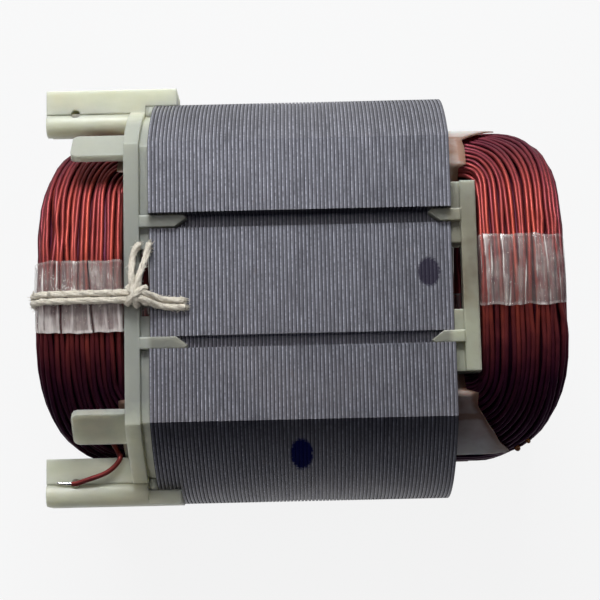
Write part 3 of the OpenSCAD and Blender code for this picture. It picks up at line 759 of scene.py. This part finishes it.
def strand(points, seed, lying=False):
    """One cotton strand of four plies. A lying strand rests on what is under it, and its end is loose."""
    path, along = resample(curve(points, 5), 0.17)
    if lying:
        path[:, 2] = np.maximum(path[:, 2], [floor_under(q) + PLY_OFF + PLY_R + 0.04 for q in path])
    for _ in range(8):
        path[1:-1] = (path[:-2] + 2 * path[1:-1] + path[2:]) / 4
    t, sides = carried(path)
    across = np.cross(t, sides)

    def vary(amount, rate, row, number):
        return np.array([amount * wander(s * rate, row, number) for s in along])

    for ply in range(4):
        twist = 2 * math.pi * (along / PLY_LAY + ply / 4) + vary(0.7, 0.35, ply * 3.0, seed)
        off = PLY_OFF + vary(0.06, 0.9, ply * 4.0, seed + 1)
        ring = sides * np.cos(twist)[:, None] + across * np.sin(twist)[:, None]
        line = path + ring * off[:, None]
        girth = PLY_R + vary(0.05, 1.7, ply * 6.0, seed + 2)
        lace.tube(line, girth, 8)
        for _ in range(int(along[-1] * 1.6)):
            at = rng.randrange(3, len(line) - 3)
            out = unit_rows((ring[at] + t[at] * rng.choice((-1.5, 1.5)))[None])[0]
            hair(line[at] + ring[at] * girth[at] * 0.9, out, rng.uniform(0.25, 0.6), 0.3)
        for _ in range(14 if lying else 0):
            root = line[-1] + np.array([rng.gauss(0, 0.16) for _ in range(3)])
            hair(root, t[-1], rng.uniform(0.2, 0.6), 0.25)


# Two turns side by side, the lump of the knot over them, and two doubled ends
for turn_y, seed in ((-2.05, 8), (-3.25, 11)):
    loop = []
    for c, (x, z, r, start) in enumerate(corners + corners[:1]):
        for i in range(5):
            a = math.radians(start - 22.5 * i)
            loop.append((x + r * math.cos(a), turn_y + 0.08 * math.sin(c + i), z + r * math.sin(a)))
    strand(loop, seed)
knot_x, knot_z, knot_low = -27.8, lace_top + 0.75, lace_top - 0.3
strand([(knot_x - 1.5, -3.9, knot_low), (knot_x - 0.9, -3.3, knot_z), (knot_x + 0.1, -2.5, knot_z + 0.55),
        (knot_x + 1.0, -1.7, knot_z), (knot_x + 1.6, -1.2, knot_low)], 31)
strand([(knot_x - 1.4, -1.1, knot_low), (knot_x - 0.7, -1.7, knot_z - 0.1), (knot_x + 0.3, -2.7, knot_z),
        (knot_x + 1.2, -3.4, knot_z - 0.1), (knot_x + 1.8, -3.9, knot_low)], 35)
strand([(knot_x + 0.2, -4.3, lace_top - 0.4), (knot_x - 0.1, -3.4, knot_z + 0.1),
        (knot_x - 0.3, -2.2, knot_z + 0.5), (knot_x - 0.4, -1.2, knot_z + 0.1),
        (knot_x - 0.5, -0.3, lace_top - 0.2)], 39)
strand([(knot_x - 0.3, -2.6, knot_z), (-28.3, -1.5, knot_z + 0.1), (-28.5, 1.0, knot_z - 0.2),
        (-28.5, 3.2, 27.0), (-28.1, 5.2, 26.6), (-27.3, 6.4, 26.4)], 12, True)
strand([(knot_x + 0.2, -2.6, knot_z), (-27.5, -1.4, knot_z + 0.1), (-27.1, 1.0, knot_z - 0.2),
        (-26.4, 3.2, 27.0), (-25.9, 5.2, 26.6), (-25.6, 6.5, 26.4)], 17, True)
strand([(knot_x + 0.3, -2.2, knot_z), (-26.3, -2.2, knot_z - 0.2), (-24.0, -3.0, 26.6),
        (-22.0, -3.3, 26.2), (-19.8, -3.4, 26.2)], 22, True)
strand([(knot_x + 0.3, -3.1, knot_z), (-26.3, -3.4, knot_z - 0.2), (-24.0, -4.2, 26.5),
        (-22.0, -4.45, 26.2), (-19.6, -4.5, 26.2)], 27, True)
cord = lace.done("lacing", [COTTON])
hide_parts("lacing_cord")


# Slot liners: folded sheets, cut on a slant and curled where they leave the plain end
def liner_section(half):
    """Section of a liner as y, z, angle and part, which is 0 on the slot's wall and 1 along the pole."""
    wall, tip, fold = SLOT_OUT_R - LINER_OFF, SLOT_IN_R + LINER_OFF, POLE_HALF + LINER_TURN
    section = []
    angles = np.concatenate([np.linspace(COIL_OUT_HALF, half + 0.15, 14), np.linspace(half, fold, 26)])
    for a in np.radians(angles):
        section.append((wall * math.sin(a), wall * math.cos(a), math.degrees(a), 0))
    base = np.array([math.sin(math.radians(POLE_HALF)), math.cos(math.radians(POLE_HALF))])
    square = np.array([base[1], -base[0]]) * LINER_OFF
    for i in range(1, 9):
        p = base * (wall + (tip - wall) * i / 9) + square
        section.append((p[0], p[1], POLE_HALF, 1))
    for i in range(13):
        a = math.radians(fold + (POLE_ARC / 2 - fold) * i / 12)
        section.append((tip * math.sin(a), tip * math.cos(a), math.degrees(a), 1))
    return np.array(section)


def liner(name, node, sy, sz, near, far, slope, half, seed):
    """A liner that stands out to far at an angle half, and slants back to near over so many degrees."""
    section = liner_section(half)
    run = unit_rows(np.gradient(section[:, :2], axis=0))
    normal = np.stack([-run[:, 1], run[:, 0]], 1)
    outer, inner, tones = [], [], []
    columns = 46
    for (y, z, angle, part), n in zip(section, normal):
        # Painted shade: the liner is pale where it stands out furthest and browner lower down
        share = min(1.0, max(0.0, 1 - (half - angle) / slope)) if part == 0 else 0.0
        ragged = 0.35 * wander(angle * 0.13, part * 5.0, seed)
        first, last = -FRAME_FACE - 1.4, near + (far - near) * share + ragged
        if part == 1:
            first, last = -HALF_L - 1.9, HALF_L + 1.9
        elif angle > half + 0.01:
            last = HALF_L + 0.4
        row_out, row_in, row_tone = [], [], []
        for c in range(columns + 1):
            x = first + (last - first) * c / columns
            loose = max(0.0, x - HALF_L - 1.0) / 9.0
            curl = 0.22 * loose * wander(x * 0.35, angle * 0.06, seed + 1) - 0.25 * loose ** 2
            if part == 1:
                curl = 0.0
            for row, s in ((row_out, LINER_SHOWN / 2), (row_in, -LINER_SHOWN / 2)):
                yy, zz = y + n[0] * s, z + n[1] * s
                r = math.hypot(yy, zz)
                grow = (r + min(curl, 0.12)) / r
                row.append((x, sy * yy * grow, sz * zz * grow))
            tip_shade = 0.5 * ramp(x, HALF_L + 5.5, HALF_L + 8.0)
            line = 0.35 if part == 0 and abs(angle - half + 0.85 * slope) < 1.0 else 0.0
            row_tone.append(0.15 + 0.8 * share - tip_shade - line - (0.5 if last - x < 0.5 else 0.0))
        outer.append(row_out)
        inner.append(row_in)
        tones.append(row_tone)
    shape = Shape()
    outer, inner, tones = np.array(outer), np.array(inner), np.array(tones)
    if sy * sz > 0:
        shape.sheet(np.concatenate([outer, inner[::-1]]), True, np.concatenate([tones, tones[::-1]]))
    else:
        shape.sheet(np.concatenate([outer[::-1], inner]), True, np.concatenate([tones[::-1], tones]))
    n = len(section)
    for col in (0, columns):
        for i in range(n - 1):
            quad = [row * (columns + 1) + col for row in (i, i + 1, 2 * n - 2 - i, 2 * n - 1 - i)]
            shape.patch(quad if col == 0 else quad[::-1])
    obj = shape.done(name, [PAPER])
    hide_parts(node)


liner("liner_upper_back", "slot_liner_upper_back", 1, 1, 28.9, 35.6, 17, LINER_HALF, 61)
liner("liner_upper_front", "slot_liner_upper_front", -1, 1, 29.6, 36.0, 27, LINER_HALF - 1.0, 62)
liner("liner_lower_back", "slot_liner_lower_back", 1, -1, 28.4, 30.4, 22, LINER_HALF, 63)
liner("liner_lower_front", "slot_liner_lower_front", -1, -1, 28.4, 30.2, 24, LINER_HALF, 64)

# Leads, with the bare soldered end that shows on the front post
rad = math.radians
face_x = -FRAME_FACE
over_post = POST_TOP + WIRE_D / 2 + FIT_GAP
under_post = POST_TOP - POST_H - WIRE_D / 2 - FIT_GAP
tab_low = POST_MID_Z - TERM_W / 2 - FIT_GAP
lead_r = COIL_SIDE_R - 1.2


def coil_r(angle):
    """Radius of the outside of an end turn at an angle."""
    return COIL_IN_R + END_TURN_T * float(fill(angle))


def front_route():
    y, r = POCKET_YS[1], coil_r(66.0) + WIRE_D / 2 + FIT_GAP
    on_coil = [(face_x - x, -way * math.sin(rad(angle)), way * math.cos(rad(angle)))
               for x, angle, way in ((4.4, 52, r - 1.6), (3.4, 60, r - 0.5), (2.6, 66, r))]
    return curve(on_coil + [(face_x - 2.2, POST_EDGE - 0.2, over_post + 0.8),
                            (face_x - 3.2, POST_EDGE - 1.6, over_post + 0.6),
                            (face_x - 5, y + 1.6, over_post + 0.5),
                            (HOLE_X + 2, y + 0.6, over_post + 0.4), (HOLE_X + 0.3, y + 0.1, over_post + 0.1),
                            (HOLE_X - 1.0, y, over_post - 0.1), (HOLE_X - 3.3, y + 0.2, over_post - 0.1)], 9)


def back_route():
    r = coil_r(math.degrees(math.acos(POST_MID_Z / COIL_SIDE_R))) + WIRE_D / 4
    return curve([(SIDE_HOLE_X, math.sqrt(r ** 2 - POST_MID_Z ** 2), POST_MID_Z),
                  (SIDE_HOLE_X, POCKET_YS[0] - TERM_T / 2 - FIT_GAP, POST_MID_Z)], 12)


def lower_route(y):
    side = 1 if y > 0 else -1
    return curve([(face_x - 3.6, side * lead_r * math.cos(rad(9)), -lead_r * math.sin(rad(9))),
                  (face_x - 4.6, side * (lead_r + 2), -2.6), (HOLE_X + 1.6, y - side, under_post - 0.9),
                  (HOLE_X + 0.2, y - side * 0.1, under_post - 0.1), (HOLE_X, y, under_post + 0.9),
                  (HOLE_X, y, tab_low)], 9)


for name, node, path in (("front_lead_wire", "upper_lead_front", front_route()),
                         ("back_lead_wire", "upper_lead_back", back_route()),
                         ("lower_front_lead_wire", "lower_lead_front", lower_route(POCKET_YS[1])),
                         ("lower_back_lead_wire", "lower_lead_back", lower_route(POCKET_YS[0]))):
    shape = Shape()
    path, along = resample(path, LEAD_STEP)
    girth = LEAD_R + np.array([0.012 * wander(s * 0.8, 2.0, 77) for s in along])
    soldered = node == "upper_lead_front"
    bare = len(path) - (int(BARE_END / LEAD_STEP) if soldered else 1)
    shape.tube(path[:bare + 1], girth[:bare + 1], 12, tone=0.45)
    if soldered:
        shape.tube(path[bare:] - (0, 0, 0.1), np.linspace(0.36, 0.22, len(path) - bare), 12, tone=0.6, mat_id=1)
        drop = np.array([(HOLE_X, POCKET_YS[1], POST_TOP + z) for z in (-0.6, -0.1, 0.1, 0.25, 0.35)])
        shape.tube(drop, [0.5, 0.75, 0.6, 0.35, 0.05], 12, tone=0.6, mat_id=1)
    obj = shape.done(name, [LEAD, SOLDER])
    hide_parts(node)

# Floor, background and light
floor_mesh = bpy.data.meshes.new("floor")
floor_corners = [(x * FLOOR_REACH, y * FLOOR_REACH, FLOOR_Z * MM)
                 for x, y in ((-1, -1), (1, -1), (1, 1), (-1, 1))]
floor_mesh.from_pydata(floor_corners, [], [(0, 1, 2, 3)])
floor = bpy.data.objects.new("floor", floor_mesh)
scene.collection.objects.link(floor)

floor_mat = bpy.data.materials.new("pale_floor")
floor_mat.use_nodes = True
floor_mat.node_tree.nodes.clear()
g = Graph(floor_mat.node_tree)
at = g.millimetres()
rays = g.add("ShaderNodeLightPath").outputs
# The floor glows in reflections only, close to the part and behind it, as a painted reflection on the part's
# shiny sides
close = g.span(g.length(at), 100.0, 66.0, 0.0, 0.6)
behind = g.span(g.xyz(at)[1], 60.0, 130.0, 0.0, 0.6)
mirrored = g.times(rays["Is Glossy Ray"], g.math("MAXIMUM", close, behind))
# The camera sees a white floor, but not under the part, which lies in its shadow
open_floor = g.span(g.length(g.stretched(at, (0.66, 1.0, 0.0))), 22.0, 27.0, 0.0, 0.88)
seen = g.times(rays["Is Camera Ray"], open_floor)
plain = g.add("ShaderNodeBsdfDiffuse", {"Color": (0.5, 0.5, 0.5, 1)}).outputs[0]
white = g.add("ShaderNodeEmission", {"Color": (1.0, 1.0, 1.0, 1), "Strength": 1.0}).outputs[0]
shown = g.add("ShaderNodeMixShader", {0: g.math("MAXIMUM", seen, mirrored), 1: plain, 2: white}).outputs[0]
g.add("ShaderNodeOutputMaterial", {0: shown})
floor_mesh.materials.append(floor_mat)

world = bpy.data.worlds.new("studio")
scene.world = world
world.use_nodes = True
world.node_tree.nodes.clear()
g = Graph(world.node_tree)
_, y, z = g.xyz(g.add("ShaderNodeTexCoord").outputs["Generated"])
toward = g.plus(g.times(y, 0.7), g.times(z, 0.5))
sky = g.mix(g.span(toward, -0.5, 0.9), (0.003, 0.003, 0.010), (0.085, 0.09, 0.125))
sky = g.mix(g.add("ShaderNodeLightPath").outputs["Is Camera Ray"], sky, (1, 1, 1))
back = g.add("ShaderNodeBackground", {"Color": sky, "Strength": 1.0}).outputs[0]
g.add("ShaderNodeOutputWorld", {0: back})


def lamp(name, at, size, watts, colour):
    data = bpy.data.lights.new(name, "AREA")
    data.shape = "RECTANGLE"
    data.size, data.size_y = size
    data.energy = watts
    data.color = colour
    obj = bpy.data.objects.new(name, data)
    obj.location = at
    obj.rotation_euler = (-Vector(at)).to_track_quat("-Z", "Y").to_euler()
    scene.collection.objects.link(obj)
    return obj


lamp("key", (-0.05, 0.487, 0.41), (0.30, 0.25), 4.7, (0.95, 0.98, 1.0))
lamp("left_side", (-0.60, 0.12, 0.34), (0.30, 0.30), 0.35, (0.98, 0.99, 1.0))
lamp("right_side", (0.60, 0.12, 0.34), (0.30, 0.30), 0.35, (0.98, 0.99, 1.0))
lamp("strip", (-0.12, 0.10, 0.62), (0.012, 0.30), 0.2, (1.0, 0.98, 0.95))
# Nylon, film and cotton let light through, and glow a little on the side away from the key
fill_light = lamp("fill", (-0.3, -0.4, 0.22), (0.25, 0.25), 0.65, (1.0, 0.99, 0.96))
glowing = bpy.data.collections.new("glowing")
for obj in scene.objects:
    if obj.type == "MESH" and set(obj.data.materials) & {NYLON, CAP_NYLON, FILM, COTTON}:
        glowing.objects.link(obj)
fill_light.light_linking.receiver_collection = glowing
